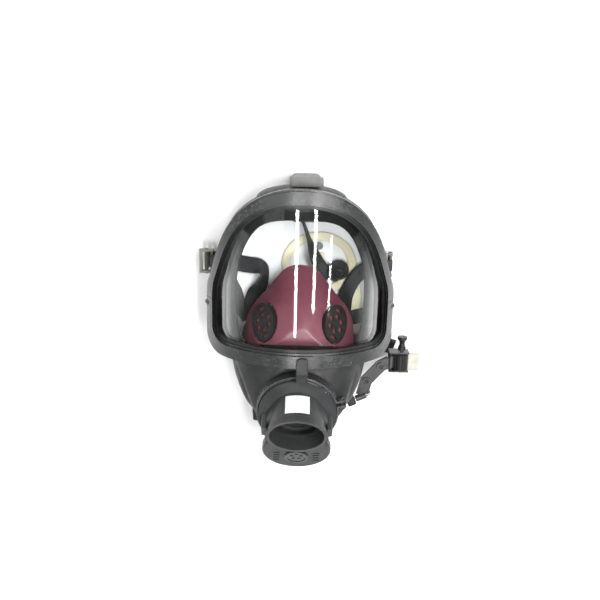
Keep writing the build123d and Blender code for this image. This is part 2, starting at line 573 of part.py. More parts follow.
with BuildPart() as exhalation_valve_disc:
    with BuildSketch(EXHALE.offset(DISC_TOP - 1.2)):
        Circle(EXHALE_DISC_R)
    extrude(amount=1.2)
    with BuildSketch(EXHALE.offset(DISC_TOP)):
        Circle(1.6)
    extrude(amount=0.8)
finish(exhalation_valve_disc.part, "exhalation_valve_disc")

SPRING_LOW, SPRING_HIGH = DISC_TOP + SPRING_WIRE, -COVER_FACE_T - SPRING_END_GAP
spring_rise = SPRING_HIGH - SPRING_LOW - 2 * SPRING_WIRE
with BuildPart() as exhalation_spring:
    with BuildLine():
        coil = Helix(spring_rise / SPRING_TURNS, spring_rise, SPRING_R)
    with BuildSketch(Plane(origin=coil @ 0, z_dir=coil % 0)):
        Circle(SPRING_WIRE)
    sweep(path=coil.edge(), is_frenet=True)
spring = EXHALE.offset(SPRING_LOW + SPRING_WIRE).location * exhalation_spring.part
finish(spring, "exhalation_spring")

with BuildPart() as exhalation_cover:
    with BuildSketch(EXHALE.offset(COVER_BACK)):
        with Locations((0, BULB_RISE)):
            Ellipse(BULB_A + COVER_GAP + COVER_T, BULB_B + COVER_GAP + COVER_T)
    extrude(amount=-COVER_BACK)
    rims = exhalation_cover.edges().filter_by(GeomType.ELLIPSE).group_by(SortBy.LENGTH)[-1]
    fillet(rims.sort_by(Axis.Z)[-1:], COVER_ROUND)
    with BuildSketch(EXHALE.offset(COVER_BACK)):
        with Locations((0, BULB_RISE)):
            Ellipse(BULB_A + COVER_GAP, BULB_B + COVER_GAP)
    extrude(amount=-COVER_BACK - COVER_FACE_T, mode=Mode.SUBTRACT)
    add(outer_chin, mode=Mode.SUBTRACT)
    with BuildSketch(EXHALE.offset(-COVER_FACE_T - 1)):
        with Locations((-17.5, 0), (17.5, 0)):
            with GridLocations(0, 4.2, 1, 4):
                SlotOverall(6.0, 1.8)
    extrude(amount=COVER_FACE_T + 2, mode=Mode.SUBTRACT)
    add(slab(RING, keep_clear, -40, BEZEL_LOW), mode=Mode.SUBTRACT)
    bezel_clear = oval_face(HOUSING_A + BEZEL_GROW + 0.5, HOUSING_B + BEZEL_GROW + 0.5)
    add(slab(RING, bezel_clear, BEZEL_LOW - 1, BEZEL_HIGH + 0.5), mode=Mode.SUBTRACT)
    with BuildSketch(PORT.offset(-PORT_ROOT_DEPTH)):
        Circle(PORT_OUTER_R + LIP_GROW + 0.4)
    extrude(amount=2 * PORT_ROOT_DEPTH, mode=Mode.SUBTRACT)
    with BuildSketch(PORT.offset(-PORT_ROOT_DEPTH)):
        with Locations((0, SHROUD_DROP)):
            Circle(SHROUD_R + 0.4)
    extrude(amount=PORT_ROOT_DEPTH - 8 + 0.4, mode=Mode.SUBTRACT)
    with BuildSketch(PORT.offset(-PORT_ROOT_DEPTH)):
        with Locations((0, REACH / 2 - COVER_TOP)):
            Rectangle(REACH, REACH)
    extrude(amount=2 * PORT_ROOT_DEPTH, mode=Mode.SUBTRACT)
finish(exhalation_cover.part, "exhalation_cover")

with BuildPart() as cover_badge:
    with BuildSketch(EXHALE):
        Circle(BADGE_R)
    extrude(amount=0.8)
    with BuildSketch(EXHALE.offset(0.8)):
        Circle(BADGE_R - 0.6)
        Circle(BADGE_R - 2.0, mode=Mode.SUBTRACT)
        with PolarLocations(4.2, 5, start_angle=90):
            Circle(1.5)
    extrude(amount=0.5)
finish(cover_badge.part, "cover_badge")

# ------------------------------------------------------------------ clamp band round the rubber collar
BAND_A, BAND_B = HOUSING_A + COLLAR_GAP + COLLAR_T, HOUSING_B + COLLAR_GAP + COLLAR_T
ear_x = (BAND_A + EAR_OUT) * cos(radians(BAND_EAR_ANGLE))
ear_y = (BAND_B + EAR_OUT) * sin(radians(BAND_EAR_ANGLE))
ear_cos, ear_sin = cos(radians(BAND_EAR_ANGLE)), sin(radians(BAND_EAR_ANGLE))
EAR_PLANE = Plane(
    origin=RING.from_local_coords(Vector(ear_x, ear_y, (BAND_LOW + BAND_HIGH) / 2)),
    x_dir=RING.from_local_coords(Vector(ear_cos, ear_sin, 0)) - RING.origin,
    z_dir=RING.from_local_coords(Vector(-ear_sin, ear_cos, 0)) - RING.origin,
)
with BuildPart() as housing_clamp_band:
    add(slab(RING, oval_face(BAND_A + BAND_T, BAND_B + BAND_T, BAND_A, BAND_B), BAND_LOW, BAND_HIGH))
    for low in (-EAR_SPLIT / 2 - EAR_T, EAR_SPLIT / 2):
        with BuildSketch(EAR_PLANE.offset(low)):
            with Locations((EAR_HOLE_X, 0)):
                Rectangle(EAR_L, BAND_HIGH - BAND_LOW)
                Circle(SCREW_HOLE_R, mode=Mode.SUBTRACT)
        extrude(amount=EAR_T)
    with BuildSketch(EAR_PLANE.offset(-EAR_SPLIT / 2)):
        with Locations((EAR_HOLE_X - EAR_OUT, 0)):
            Rectangle(EAR_L, 2 * HOUSING_BACK)
    extrude(amount=EAR_SPLIT, mode=Mode.SUBTRACT)
    add(slab(RING, oval_face(BAND_A, BAND_B), BAND_LOW - 1, BAND_HIGH + 1), mode=Mode.SUBTRACT)
finish(housing_clamp_band.part, "housing_clamp_band")
head_low = EAR_SPLIT / 2 + EAR_T + 0.05
with BuildPart() as clamp_screw:
    with BuildSketch(EAR_PLANE.offset(head_low)):
        with Locations((EAR_HOLE_X, 0)):
            Circle(SCREW_HEAD_R)
    extrude(amount=SCREW_HEAD_T)
    with BuildSketch(EAR_PLANE.offset(-head_low - NUT_T - 0.5)):
        with Locations((EAR_HOLE_X, 0)):
            Circle(SCREW_R)
    extrude(amount=2 * head_low + NUT_T + 0.5)
    with BuildSketch(EAR_PLANE.offset(head_low + SCREW_HEAD_T)):
        with Locations((EAR_HOLE_X, 0)):
            Rectangle(SCREW_SLOT_W, 3 * SCREW_HEAD_R)
    extrude(amount=-SCREW_SLOT_DEPTH, mode=Mode.SUBTRACT)
finish(clamp_screw.part, "clamp_screw")
with BuildPart() as clamp_nut:
    with BuildSketch(EAR_PLANE.offset(-head_low - NUT_T)):
        with Locations((EAR_HOLE_X, 0)):
            RegularPolygon(NUT_FLATS / 2, 6, major_radius=False)
            Circle(SCREW_R, mode=Mode.SUBTRACT)
    extrude(amount=NUT_T)
finish(clamp_nut.part, "clamp_nut")

# ------------------------------------------------------------------ tongue over the lower frame, label on the port
with BuildPart() as locating_tongue:
    with BuildSketch(Plane.YZ.offset(TONGUE_X - TONGUE_W / 2)):
        with BuildLine():
            Polyline(*TONGUE_OUTLINE, close=True)
        make_face()
    extrude(amount=TONGUE_W)
    fillet(locating_tongue.edges().filter_by(Axis.Z).group_by(Axis.Y)[-1], TONGUE_ROUND)
finish(locating_tongue.part, "locating_tongue")

with BuildPart() as port_label:
    with BuildSketch(PORT.offset(LABEL_LOW)):
        Circle(PORT_OUTER_R + LABEL_T)
        Circle(PORT_OUTER_R, mode=Mode.SUBTRACT)
        with Locations((0, PORT_OUTER_R)):
            Rectangle(LABEL_W, 12, mode=Mode.INTERSECT)
    extrude(amount=LABEL_HIGH - LABEL_LOW)
finish(port_label.part, "port_label")

# ------------------------------------------------------------------ harness lying inside and below the mask
def floor_strap(points, width, low=0.0, thickness=STRAP_T):
    """A strap lying flat along a route on the floor."""
    with BuildPart() as strap:
        with BuildSketch(Plane.XY.offset(low)):
            with BuildLine():
                Polyline(*points)
            trace(line_width=width)
        extrude(amount=thickness)
    return strap.part


with BuildPart() as harness_ring:
    with BuildSketch():
        with Locations(RING_PLATE_AT):
            Ellipse(RING_PLATE_A, RING_PLATE_B)
            Ellipse(RING_PLATE_A - RING_BAND, RING_PLATE_B - RING_BAND, mode=Mode.SUBTRACT)
            with Locations((0, RING_PLATE_B - RING_BAND - 4)):
                Circle(RING_TAB_R)
    extrude(amount=STRAP_T)
    with BuildSketch():
        with Locations((RING_PLATE_AT[0], RING_PLATE_AT[1] + RING_PLATE_B - RING_BAND - 5)):
            Circle(RIVET_HOLE_R)
    extrude(amount=STRAP_T, mode=Mode.SUBTRACT)
finish(harness_ring.part, "harness_ring")

with BuildPart() as ring_rivet:
    with BuildSketch():
        with Locations((RING_PLATE_AT[0], RING_PLATE_AT[1] + RING_PLATE_B - RING_BAND - 5)):
            Circle(RIVET_HOLE_R - 0.02)
    extrude(amount=STRAP_T)
    with BuildSketch(Plane.XY.offset(STRAP_T)):
        with Locations((RING_PLATE_AT[0], RING_PLATE_AT[1] + RING_PLATE_B - RING_BAND - 5)):
            Circle(RIVET_HOLE_R + 1.6)
    extrude(amount=1.2)
finish(ring_rivet.part, "ring_rivet")

with BuildPart() as forehead_strap:
    with BuildSketch(Plane.YZ.offset(FOREHEAD_STRAP_X - FOREHEAD_STRAP_W / 2)):
        with BuildLine():
            FilletPolyline(*FOREHEAD_STRAP_ROUTE, radius=4.0)
        trace(line_width=STRAP_T)
    extrude(amount=FOREHEAD_STRAP_W)
    with BuildSketch():
        with BuildLine():
            Polyline(*FOREHEAD_TAIL_ROUTE)
        trace(line_width=STRAP_T)
    extrude(amount=FOREHEAD_TAIL_H)
finish(forehead_strap.part, "forehead_strap")

FLOOR_STRAPS = {
    "centre_strap": ([(17.3, 31.5), (22.4, 6.8)], 9.0),
    "left_temple_strap": ([(-89.0, 24.0), (-34.0, 21.0), (-44.0, -12.0), (-40.0, -36.0)], 15.0),
    "left_cheek_strap": ([(25.0, -101.0), (9.0, -90.0), (-14.0, -56.0), (-54.0, -46.0)], 15.0),
    "right_temple_strap": ([(80.0, 21.0), (66.0, 16.0), (43.0, -24.0)], 15.0),
    "right_cheek_strap": ([(91.0, -58.0), (68.0, -46.0), (40.0, -42.0)], 15.0),
}
for name, (route, width) in FLOOR_STRAPS.items():
    piece = floor_strap(route, width)
    finish(piece, name)

with BuildPart() as rolled_strap:
    with BuildSketch(Plane.XY.offset(STRAP_T + 0.2)):
        with Locations(ROLL_AT):
            Circle(ROLL_R)
            Circle(ROLL_R - STRAP_T, mode=Mode.SUBTRACT)
    extrude(amount=ROLL_H)
finish(rolled_strap.part, "rolled_strap")

# ------------------------------------------------------------------ cheek clips with their roller buckles
def rod(plane, start, direction, low, high, radius):
    """A round bar through `start`, in the plane's own coordinates, from `low` to `high` along `direction`."""
    at = plane.from_local_coords(Vector(*start))
    along = plane.from_local_coords(Vector(*start) + Vector(*direction)) - at
    across = Plane(origin=at, z_dir=along)
    with BuildPart() as bar:
        with BuildSketch(across.offset(low)):
            Circle(radius)
        extrude(amount=high - low)
    return bar.part


def cheek_clip(side, plane, flip, lug_way):
    """Pin, lug, plate, studs, roller buckle and strap end; `flip` of -1 mirrors the shape in the plane."""
    pin_way = (flip * cos(radians(CLIP_PIN_ANGLE)), sin(radians(CLIP_PIN_ANGLE)), 0)
    centre = (0, 0, 0)
    way = plane.from_local_coords(Vector(*pin_way)) - plane.origin
    head_end = CLIP_PIN_OUTER + CLIP_PIN_HEAD_T
    with BuildPart() as lug:
        block = Plane(
            origin=plane.origin + way * (CLIP_PIN_INNER + CLIP_LUG_W / 2 + 0.4),
            x_dir=way, z_dir=plane.z_dir.cross(way) * lug_way,
        )
        with BuildSketch(block.offset(-CLIP_LUG_BACK)):
            RectangleRounded(CLIP_LUG_W, CLIP_LUG_T, 2.0)
        extrude(amount=CLIP_LUG_L)
        add(outer_chin, mode=Mode.SUBTRACT)
        add(outer_bowl, mode=Mode.SUBTRACT)
        add(rod(plane, centre, pin_way, CLIP_PIN_INNER - 1, 0, CLIP_PIN_R), mode=Mode.SUBTRACT)
    lug_solids = lug.part.solids().sort_by(SortBy.VOLUME)
    finish(Part() + lug_solids[-1], f"{side}_cheek_lug")
    with BuildPart() as pin:
        add(rod(plane, centre, pin_way, CLIP_PIN_INNER, CLIP_PIN_OUTER, CLIP_PIN_R))
        add(rod(plane, centre, pin_way, CLIP_PIN_OUTER, head_end, CLIP_PIN_HEAD_R))
    finish(pin.part, f"{side}_clip_pin")

    half = CLIP_KNUCKLE_L / 2
    pivot = (flip * BUCKLE_PIVOT_X, BUCKLE_Y, 0)
    with BuildPart() as plate:
        with BuildSketch(plane.offset(-CLIP_T / 2)):
            with BuildLine():
                Polyline(*[(flip * x, y) for x, y in CLIP_ROUTE])
            trace(line_width=CLIP_W)
        extrude(amount=CLIP_T)
        add(rod(plane, centre, pin_way, -half, half, CLIP_KNUCKLE_R))
        add(rod(plane, pivot, (0, 1, 0), -CLIP_W / 2, CLIP_W / 2, BUCKLE_KNUCKLE_R))
        add(rod(plane, centre, pin_way, -30, 30, CLIP_PIN_R + RUNNING_GAP), mode=Mode.SUBTRACT)
        add(rod(plane, centre, pin_way, CLIP_PIN_OUTER - 0.3, 20, CLIP_PIN_HEAD_R + 0.4), mode=Mode.SUBTRACT)
        add(rod(plane, pivot, (0, 1, 0), -30, 30, BUCKLE_PIN_R + RUNNING_GAP), mode=Mode.SUBTRACT)
    finish(plate.part, f"{side}_clip_plate")
    with BuildPart() as studs:
        with BuildSketch(plane.offset(CLIP_T / 2)):
            with Locations(*[(flip * x, y) for x, y in CLIP_ROUTE[1:3]]):
                Circle(STUD_R)
        extrude(amount=STUD_T)
        with BuildSketch(plane.offset(CLIP_T / 2 + STUD_T)):
            with Locations(*[(flip * x, y) for x, y in CLIP_ROUTE[1:3]]):
                Circle(STUD_R - 1.6)
        extrude(amount=-0.8, mode=Mode.SUBTRACT)
    finish(studs.part, f"{side}_clip_studs")

    arm = BUCKLE_ARM_Y + BUCKLE_ARM_T
    axle = (flip * ROLLER_X, BUCKLE_Y, 0)
    with BuildPart() as buckle:
        middle_x = flip * (BUCKLE_PIVOT_X - BUCKLE_HEEL + BUCKLE_END_X) / 2
        length = BUCKLE_END_X - BUCKLE_PIVOT_X + BUCKLE_HEEL
        with BuildSketch(plane.offset(BUCKLE_FLOOR)):
            with Locations((middle_x, BUCKLE_Y)):
                Rectangle(length, 2 * arm)
        extrude(amount=BUCKLE_FLOOR_T)
        with BuildSketch(plane.offset(BUCKLE_FLOOR)):
            with Locations((middle_x, BUCKLE_Y + arm - BUCKLE_ARM_T / 2), (middle_x, BUCKLE_Y - arm + BUCKLE_ARM_T / 2)):
                Rectangle(length, BUCKLE_ARM_T)
        extrude(amount=BUCKLE_TOP - BUCKLE_FLOOR)
        add(rod(plane, pivot, (0, 1, 0), -arm, arm, BUCKLE_PIN_R))
        add(rod(plane, axle, (0, 1, 0), -arm - 1, arm + 1, AXLE_R + RUNNING_GAP), mode=Mode.SUBTRACT)
    finish(buckle.part, f"{side}_buckle_frame")
    with BuildPart() as roller:
        add(rod(plane, axle, (0, 1, 0), -ROLLER_L / 2, ROLLER_L / 2, ROLLER_R))
        at = plane.from_local_coords(Vector(*axle))
        along = plane.y_dir
        rib_plane = Plane(origin=at, x_dir=plane.x_dir, z_dir=along)
        with BuildSketch(rib_plane.offset(-ROLLER_L / 2)):
            with PolarLocations(ROLLER_R, ROLLER_RIBS):
                Circle(0.7)
        extrude(amount=ROLLER_L, mode=Mode.SUBTRACT)
        add(rod(plane, axle, (0, 1, 0), -arm - 0.8, arm + 1.6, AXLE_R))
    finish(roller.part, f"{side}_buckle_roller")
    with BuildPart() as knob:
        knob_low = arm + 1.6
        add(rod(plane, axle, (0, 1, 0), knob_low, knob_low + 3.0, 3.4))
        with BuildSketch(rib_plane.offset(knob_low + 3.0)):
            Circle(3.4)
        with BuildSketch(rib_plane.offset(knob_low + 6.0)):
            Circle(2.3)
        with BuildSketch(rib_plane.offset(knob_low + 10.5)):
            Circle(4.3)
        loft()
        with BuildSketch(rib_plane.offset(knob_low + 10.5)):
            Circle(4.3)
        extrude(amount=2.2)
    finish(knob.part, f"{side}_roller_knob")
    with BuildPart() as strap_end:
        with BuildSketch(plane.offset(-STRAP_T / 2)):
            with Locations((flip * (STRAP_END_X + STRAP_END_L / 2), BUCKLE_Y)):
                RectangleRounded(STRAP_END_L, STRAP_END_W, 1.5)
        extrude(amount=STRAP_T)
    finish(strap_end.part, f"{side}_strap_end")


cheek_clip("right", Plane(origin=CLIP_RIGHT_AT), 1, 1)
folded = radians(CLIP_LEFT_TURN)
cheek_clip("left", Plane(origin=CLIP_LEFT_AT, x_dir=(cos(folded), sin(folded), 0), z_dir=(0, 0, 1)), -1, -1)

# ------------------------------------------------------------------ temple buckles
slot_length = 2 * TEMPLE_BAR_R + TEMPLE_SLIDE + 2 * RUNNING_GAP
arm_end = TEMPLE_ARM_Y + TEMPLE_ARM_T
arm_y = arm_end - TEMPLE_ARM_T / 2
for side, flip in (("left", -1), ("right", 1)):
    pin_centre = (flip * TEMPLE_PIN[0], TEMPLE_PIN[1], TEMPLE_PIN[2])
    upright = Plane(origin=pin_centre)
    fold = radians(TEMPLE_FOLD[side])
    hinge = Plane(origin=pin_centre, x_dir=(cos(fold), 0, -sin(fold)), z_dir=(sin(fold), 0, cos(fold)))
    with BuildPart() as temple_lug:
        with BuildSketch(upright.offset(-TEMPLE_LUG[2] / 2)):
            with Locations((flip * (TEMPLE_LUG_NOSE - TEMPLE_LUG[0] / 2), 0)):
                Rectangle(TEMPLE_LUG[0], TEMPLE_LUG[1])
        extrude(amount=TEMPLE_LUG[2])
        add(outer_bowl, mode=Mode.SUBTRACT)
        add(rod(upright, (0, 0, 0), (0, 1, 0), -arm_end, arm_end, TEMPLE_PIN_R + RUNNING_GAP), mode=Mode.SUBTRACT)
    finish(temple_lug.part, f"{side}_temple_lug")

    slots = [(flip * TEMPLE_SLOT_X, way * arm_y) for way in (-1, 1)]
    cheek = (TEMPLE_FRAME_T - 2 * TEMPLE_BAR_R - 2 * RUNNING_GAP) / 2      # metal above and below the slot
    with BuildPart() as temple_frame:
        with BuildSketch(hinge.offset(-TEMPLE_FRAME_T / 2)):
            with Locations(*[(flip * (TEMPLE_REACH - TEMPLE_HEEL) / 2, way * arm_y) for way in (-1, 1)]):
                Rectangle(TEMPLE_REACH + TEMPLE_HEEL, TEMPLE_ARM_T)
            with Locations(*slots):
                Rectangle(slot_length, TEMPLE_ARM_T, mode=Mode.SUBTRACT)
            with Locations((flip * (TEMPLE_REACH - TEMPLE_BAR_W / 2), 0)):
                Rectangle(TEMPLE_BAR_W, 2 * arm_end)
        extrude(amount=TEMPLE_FRAME_T)
        for low in (-TEMPLE_FRAME_T / 2, TEMPLE_FRAME_T / 2 - cheek):
            with BuildSketch(hinge.offset(low)):
                with Locations(*slots):
                    Rectangle(slot_length, TEMPLE_ARM_T)
            extrude(amount=cheek)
        add(rod(hinge, (0, 0, 0), (0, 1, 0), -arm_end, arm_end, TEMPLE_PIN_R))
    finish(temple_frame.part, f"{side}_temple_buckle")
    bar_start = (flip * (TEMPLE_SLOT_X - TEMPLE_SLIDE / 2), 0, 0)
    bar_end = arm_end + TEMPLE_BAR_PROUD
    finish(rod(hinge, bar_start, (0, 1, 0), -bar_end, bar_end, TEMPLE_BAR_R), f"{side}_temple_bar")
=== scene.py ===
"""Looks of the full face respirator: materials, soft goods, floor, light and camera."""
from math import cos, pi, radians, sin

import bmesh
import bpy
import numpy as np
from mathutils import Matrix, Vector


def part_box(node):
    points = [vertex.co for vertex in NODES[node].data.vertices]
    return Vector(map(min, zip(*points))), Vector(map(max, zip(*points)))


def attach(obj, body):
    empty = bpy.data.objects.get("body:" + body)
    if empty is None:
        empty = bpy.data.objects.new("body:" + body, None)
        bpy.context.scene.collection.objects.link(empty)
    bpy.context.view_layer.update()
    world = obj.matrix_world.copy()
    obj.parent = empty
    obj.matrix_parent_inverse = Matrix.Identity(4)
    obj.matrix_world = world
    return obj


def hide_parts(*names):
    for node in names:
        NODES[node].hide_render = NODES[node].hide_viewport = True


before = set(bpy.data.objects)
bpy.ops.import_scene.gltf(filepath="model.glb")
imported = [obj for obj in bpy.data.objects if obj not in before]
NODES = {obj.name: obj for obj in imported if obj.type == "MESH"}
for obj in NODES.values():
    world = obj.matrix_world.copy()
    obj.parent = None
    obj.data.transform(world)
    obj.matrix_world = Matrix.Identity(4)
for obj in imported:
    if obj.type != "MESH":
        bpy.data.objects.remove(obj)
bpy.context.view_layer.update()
MM = 0.001
HANDS = ("left", "right")


def put(name, data):
    """A new object in the scene."""
    obj = bpy.data.objects.new(name, data)
    bpy.context.scene.collection.objects.link(obj)
    return obj


def mesh_object(name, verts, faces):
    """A smooth-shaded mesh object, its corners in metres."""
    mesh = bpy.data.meshes.new(name)
    mesh.from_pydata([tuple(v) for v in verts], [], [tuple(f) for f in faces])
    mesh.update()
    mesh.polygons.foreach_set("use_smooth", [True] * len(mesh.polygons))
    return put(name, mesh)


# ------------------------------------------------------------------ camera
CAMERA_TARGET = Vector((0.0, 0.0, 0.0558))
CAMERA_DISTANCE = 0.5208
CAMERA_LEAN = radians(14.0)  # from straight overhead towards the forehead
CAMERA_ROLL = radians(1.4)
FOCAL_MM, SENSOR_MM = 36.66, 36.0

camera = put("camera", bpy.data.cameras.new("camera"))
camera.data.lens = FOCAL_MM
camera.data.sensor_width = SENSOR_MM
camera.data.clip_start = 0.01
away = Vector((0.0, sin(CAMERA_LEAN), cos(CAMERA_LEAN)))
upward = Vector((0.0, cos(CAMERA_LEAN), -sin(CAMERA_LEAN)))
aim = Matrix((upward.cross(away), upward, away)).transposed().to_4x4()
place = Matrix.Translation(CAMERA_TARGET + away * CAMERA_DISTANCE)
camera.matrix_world = place @ aim @ Matrix.Rotation(CAMERA_ROLL, 4, "Z")
bpy.context.scene.camera = camera


# ------------------------------------------------------------------ node materials
def grey(value):
    return (value, value, value)


def shade(colour, gain, lift=0.0):
    """The colour times gain plus lift, no brighter than white."""
    return tuple(min(1.0, gain * c + lift) for c in colour)


class Look:
    """One node material: a Principled shader with helpers that feed its sockets."""

    def __init__(self, name, **inputs):
        self.material = bpy.data.materials.new(name)
        self.material.use_nodes = True
        self.tree = self.material.node_tree
        self.shader = self.tree.nodes["Principled BSDF"]
        self.coords = self.tree.nodes.new("ShaderNodeTexCoord")
        self.bumps = None
        for key, value in inputs.items():
            self.shader.inputs[key.replace("_", " ")].default_value = value

    def node(self, kind, **settings):
        made = self.tree.nodes.new(kind)
        for key, value in settings.items():
            if key in made.inputs:
                made.inputs[key].default_value = value
            else:
                setattr(made, key, value)
        return made

    def link(self, out, into):
        self.tree.links.new(out, into)

    def noise(self, scale, detail=4.0, roughness=0.55, stretch=None):
        vector = self.coords.outputs["Object"]
        if stretch:
            mapping = self.node("ShaderNodeMapping", Scale=stretch)
            self.link(vector, mapping.inputs["Vector"])
            vector = mapping.outputs["Vector"]
        texture = self.node("ShaderNodeTexNoise", Scale=scale, Detail=detail, Roughness=roughness)
        self.link(vector, texture.inputs["Vector"])
        return texture.outputs["Fac"]

    def ramp(self, value, low, high, start=0.0, end=1.0):
        """Maps value from low..high to start..end, clamped."""
        mapped = self.node("ShaderNodeMapRange")
        for socket, number in (("From Min", low), ("From Max", high), ("To Min", start), ("To Max", end)):
            mapped.inputs[socket].default_value = number
        self.link(value, mapped.inputs["Value"])
        return mapped.outputs["Result"]

    def patches(self, scale, low, high, start=0.0, end=1.0, **grain):
        """Noise with that many waves in a metre, mapped from low..high to start..end."""
        return self.ramp(self.noise(scale, **grain), low, high, start, end)

    def edges(self, low, high, strength):
        """Up to strength along the outside corners of the mesh, 0 elsewhere."""
        geometry = self.node("ShaderNodeNewGeometry")
        return self.ramp(geometry.outputs["Pointiness"], low, high, 0.0, strength)

    def combine(self, operation, a, b):
        """The product, sum and so on of two sockets."""
        result = self.node("ShaderNodeMath", operation=operation)
        self.link(a, result.inputs[0])
        self.link(b, result.inputs[1])
        return result.outputs[0]

    def mix(self, factor, a, b):
        """Colour a where factor is 0, b where it is 1. Either may be a colour or a socket."""
        mixer = self.node("ShaderNodeMix", data_type="RGBA")
        self.link(factor, mixer.inputs[0])
        for value, socket in ((a, mixer.inputs[6]), (b, mixer.inputs[7])):
            if isinstance(value, tuple):
                socket.default_value = (*value, 1.0)
            else:
                self.link(value, socket)
        return mixer.outputs[2]

    def colour(self, value):
        self.link(value, self.shader.inputs["Base Color"])

    def roughness(self, value):
        self.link(value, self.shader.inputs["Roughness"])

    def bump(self, height, depth, strength=1.0):
        """Relief of that depth in metres, on top of the relief added before."""
        made = self.node("ShaderNodeBump", Strength=strength, Distance=depth)
        self.link(height, made.inputs["Height"])
        if self.bumps:
            self.link(self.bumps, made.inputs["Normal"])
        self.bumps = made.outputs["Normal"]
        self.link(self.bumps, self.shader.inputs["Normal"])


def rubber(name, base, worn, rough, dust=0.0, grain=900.0, depth=0.00004, mottle=45.0, spec=0.3):
    """Matt moulding: mottled from base to worn, specked with dust and paler at its corners."""
    look = Look(name, Specular_IOR_Level=spec)
    tint = look.mix(look.patches(mottle, 0.35, 0.68, detail=5.0, roughness=0.6), base, worn)
    if dust:
        specks = look.patches(420.0, 0.6, 0.76, 0.0, dust, detail=6.0, roughness=0.75)
        tint = look.mix(specks, tint, shade(worn, 1.0, 0.14))
    look.colour(look.mix(look.edges(0.53, 0.64, 0.45), tint, shade(worn, 1.9, 0.02)))
    look.roughness(look.patches(2.2 * mottle, 0.3, 0.7, rough - 0.09, rough + 0.12))
    look.bump(look.noise(grain, detail=3.0, roughness=0.6), depth)
    look.bump(look.noise(55.0, detail=3.0, roughness=0.5), 0.0004, strength=0.2)
    return look.material


def plastic(name, base, worn, rough, scuff=0.0, scratch=0.0, coat=0.0, spec=0.35):
    """Satin moulding: even colour, with rubbed spots and fine scratches in patches."""
    look = Look(name, Specular_IOR_Level=spec, Coat_Weight=coat, Coat_Roughness=0.15)
    tint = look.mix(look.patches(38.0, 0.35, 0.7), base, shade(base, 1.7, 0.002))
    if scuff:
        spots = look.patches(520.0, 0.5, 0.7, 0.0, scuff, detail=6.0, roughness=0.75)
        rubbed = look.combine("MULTIPLY", look.patches(26.0, 0.45, 0.7, roughness=0.6), spots)
        tint = look.mix(rubbed, tint, worn)
    if scratch:
        handled = look.patches(60.0, 0.5, 0.68, roughness=0.6)
        for scale, stretch in ((900.0, (1.0, 0.05, 0.4)), (820.0, (0.06, 1.0, 0.5))):
            lines = look.patches(scale, 0.68, 0.75, 0.0, scratch, detail=2.0, roughness=0.5, stretch=stretch)
            tint = look.mix(look.combine("MULTIPLY", lines, handled), tint, worn)
    look.colour(tint)
    look.roughness(look.patches(110.0, 0.3, 0.7, rough - 0.07, rough + 0.09, detail=5.0))
    look.bump(look.noise(1400.0, detail=3.0, roughness=0.6), 0.00002)
    return look.material


def metal(name, base, tarnish, rough, metallic=1.0, coat=0.0):
    """Brushed metal: tarnished in spots, with a painted highlight along its corners."""
    look = Look(name, Metallic=metallic, Coat_Weight=coat, Coat_Roughness=0.1)
    brushed = (1.0, 1.0, 12.0)
    tint = look.mix(look.patches(260.0, 0.48, 0.7, detail=6.0, roughness=0.7), base, tarnish)
    # painted highlight: the corners take a brighter copy of the base colour
    look.colour(look.mix(look.edges(0.52, 0.58, 0.6), tint, shade(base, 1.6, 0.05)))
    look.roughness(
        look.patches(420.0, 0.3, 0.7, rough - 0.1, rough + 0.14, detail=3.0, roughness=0.6, stretch=brushed)
    )
    look.bump(look.noise(900.0, detail=2.0, roughness=0.5, stretch=brushed), 0.00003)
    return look.material


WEAVE_ACROSS, WEAVE_ALONG, WEAVE_SHIFT = 1.1 * MM, 0.88 * MM, 1.3
WEAVE_ROUGH = 0.8


def webbing(name, base, hollow_shade):
    """Woven strap: ribs across and along it, from the strap's own coordinates in metres, with painted shade in the
    weave's hollows.
    """
    look = Look(name, Sheen_Weight=0.25, Sheen_Roughness=0.5, Specular_IOR_Level=0.25)
    uv = look.node("ShaderNodeSeparateXYZ")
    look.link(look.coords.outputs["UV"], uv.inputs[0])
    waves = []
    for axis, pitch, shift in (("X", WEAVE_ACROSS, 0.0), ("Y", WEAVE_ALONG, WEAVE_SHIFT)):
        phase = look.node("ShaderNodeMath", operation="MULTIPLY_ADD")
        phase.inputs[1].default_value = 2 * pi / pitch
        phase.inputs[2].default_value = shift
        look.link(uv.outputs[axis], phase.inputs[0])
        wave = look.node("ShaderNodeMath", operation="SINE")
        look.link(phase.outputs[0], wave.inputs[0])
        waves.append(wave.outputs[0])
    height = look.ramp(look.combine("MULTIPLY", *waves), -1.0, 1.0)
    fuzz = look.noise(1500.0, detail=3.0, roughness=0.7)
    # painted shade: the weave's low parts take the darker colour, its raised ribs the base colour
    tint = look.mix(look.ramp(height, 0.15, 0.75), hollow_shade, base)
    soiled = look.patches(90.0, 0.45, 0.75, 0.0, 0.6, detail=5.0, roughness=0.6)
    look.colour(look.mix(soiled, tint, shade(base, 0.55)))
    look.roughness(look.ramp(fuzz, 0.3, 0.7, WEAVE_ROUGH - 0.1, WEAVE_ROUGH + 0.1))
    look.bump(height, 0.00025)
    look.bump(fuzz, 0.00006)
    return look.material


LENS_LETS_THROUGH = (0.975, 0.985, 0.985, 1.0)
LENS_SHINE_FACING, LENS_SHINE_GRAZING = 0.014, 0.24  # share of the light that the skin mirrors
LENS_HAZE = 0.012  # the most that smears add to that share
LENS_ROUGH = 0.02


